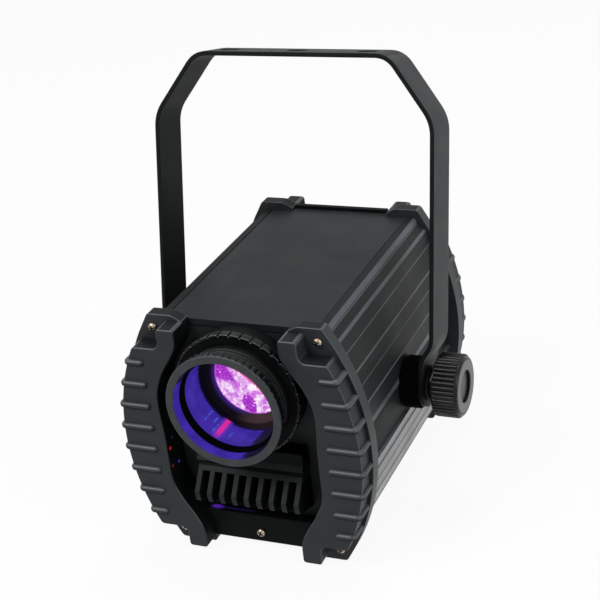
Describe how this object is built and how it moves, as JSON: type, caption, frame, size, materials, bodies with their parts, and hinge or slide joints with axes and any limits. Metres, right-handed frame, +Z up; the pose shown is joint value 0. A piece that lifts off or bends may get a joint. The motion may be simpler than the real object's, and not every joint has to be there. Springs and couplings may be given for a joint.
{
  "type": "stage light",
  "caption": "Compact LED effect spotlight with a focusing lens tube, ribbed end caps on a grooved tube, and a bent flat-bar yoke with clamp knobs.",
  "frame": {"origin": "middle of the bounding box's bottom face, on the surface that the end caps stand on", "axes": "+Z up, -Y the way the lens points, +X to the right seen from the front"},
  "size_m": [0.2184, 0.2194, 0.2802],
  "materials": {
    "cap_plastic": "charcoal, fine moulded grain, satin",
    "powder_coat": "black powder coat, fine texture",
    "anodised_tube": "black, satin, with lengthwise draw marks",
    "gloss_black": "black, glossy",
    "black_plastic": "black, satin",
    "black_rubber": "black, dull",
    "screw_brass": "yellow zinc plate",
    "steel": "bare steel",
    "aluminium": "bare aluminium",
    "lens_glass": "clear, with a violet coating",
    "led_yellow": "clear silicone dome over yellow phosphor",
    "circuit_board": "green lacquer",
    "display_window": "dark red, clear"
  },
  "bodies": {
    "housing": {"front_cap": "cap_plastic", "rear_cap": "cap_plastic", "vent_hood": "cap_plastic", "housing_tube": "anodised_tube", "rear_panel": "powder_coat", "lens_sleeve": "black_plastic", "fan_frame": "black_plastic", "power_inlet": "black_plastic", "fuse_holder": "black_plastic", "left_spacer": "black_rubber", "right_spacer": "black_rubber", "front_cap_screw_1": "screw_brass", "front_cap_screw_2": "screw_brass", "front_cap_screw_3": "screw_brass", "front_cap_screw_4": "screw_brass", "front_skirt_screw": "screw_brass", "rear_cap_screw_1": "screw_brass", "rear_cap_screw_2": "screw_brass", "rear_cap_screw_3": "screw_brass", "rear_cap_screw_4": "screw_brass", "rear_skirt_screw": "screw_brass", "panel_screw_1": "screw_brass", "panel_screw_2": "screw_brass", "panel_screw_3": "screw_brass", "panel_screw_4": "screw_brass", "left_nut_block": "steel", "right_nut_block": "steel", "power_supply": "aluminium", "effect_motor": "steel", "led_heatsink": "aluminium", "condenser_tube": "aluminium", "chassis": "aluminium", "condenser_lens": "lens_glass", "led": "led_yellow", "led_board": "circuit_board", "control_board": "circuit_board", "display": "display_window"},
    "yoke": {"yoke": "powder_coat"},
    "left_knob": {"left_knob": "gloss_black", "left_washer": "black_plastic"},
    "right_knob": {"right_knob": "gloss_black", "right_washer": "black_plastic"},
    "focus_ring": {"focus_ring": "gloss_black"},
    "barrel": {"lens_barrel": "black_plastic", "front_ring": "gloss_black", "baffle_ring": "black_rubber", "front_lens": "lens_glass", "lens_clip": "steel"},
    "effect_wheel": {"effect_wheel": "black_plastic"},
    "fan": {"fan_rotor": "black_plastic"},
    "button_1": {"menu_button_1": "black_rubber"},
    "button_2": {"menu_button_2": "black_rubber"},
    "button_3": {"menu_button_3": "black_rubber"},
    "button_4": {"menu_button_4": "black_rubber"}
  },
  "joints": [
    {"name": "yoke_tilt", "type": "hinge", "parent": "housing", "child": "yoke", "pos_m": [0, 0.00345, 0.079], "axis": [1, 0, 0], "range_deg": [-88, 115]},
    {"name": "left_knob_turn", "type": "hinge", "parent": "housing", "child": "left_knob", "pos_m": [-0.1, 0.00345, 0.079], "axis": [-1, 0, 0], "range_deg": [0, 360]},
    {"name": "right_knob_turn", "type": "hinge", "parent": "housing", "child": "right_knob", "pos_m": [0.1, 0.00345, 0.079], "axis": [1, 0, 0], "range_deg": [0, 360]},
    {"name": "focus_turn", "type": "hinge", "parent": "housing", "child": "focus_ring", "pos_m": [0, -0.08295, 0.1126], "axis": [0, 1, 0], "range_deg": [-180, 180]},
    {"name": "barrel_slide", "type": "slide", "parent": "housing", "child": "barrel", "axis": [0, -1, 0], "range_m": [-0.0061, 0.0061]},
    {"name": "effect_wheel_spin", "type": "hinge", "parent": "housing", "child": "effect_wheel", "pos_m": [0, -0.03295, 0.0826], "axis": [0, 1, 0], "continuous": true},
    {"name": "fan_spin", "type": "hinge", "parent": "housing", "child": "fan", "pos_m": [0, 0.08205, 0.105], "axis": [0, 1, 0], "continuous": true},
    {"name": "button_press_1", "type": "slide", "parent": "housing", "child": "button_1", "axis": [0, -1, 0], "range_m": [0, 0.001], "stiffness_N_per_m": 300, "springref_m": -0.001},
    {"name": "button_press_2", "type": "slide", "parent": "housing", "child": "button_2", "axis": [0, -1, 0], "range_m": [0, 0.001], "stiffness_N_per_m": 300, "springref_m": -0.001},
    {"name": "button_press_3", "type": "slide", "parent": "housing", "child": "button_3", "axis": [0, -1, 0], "range_m": [0, 0.001], "stiffness_N_per_m": 300, "springref_m": -0.001},
    {"name": "button_press_4", "type": "slide", "parent": "housing", "child": "button_4", "axis": [0, -1, 0], "range_m": [0, 0.001], "stiffness_N_per_m": 300, "springref_m": -0.001}
  ],
  "couplings": [
    {"joint": "barrel_slide", "follows": "focus_turn", "m_per_rad": 0.0019099}
  ]
}
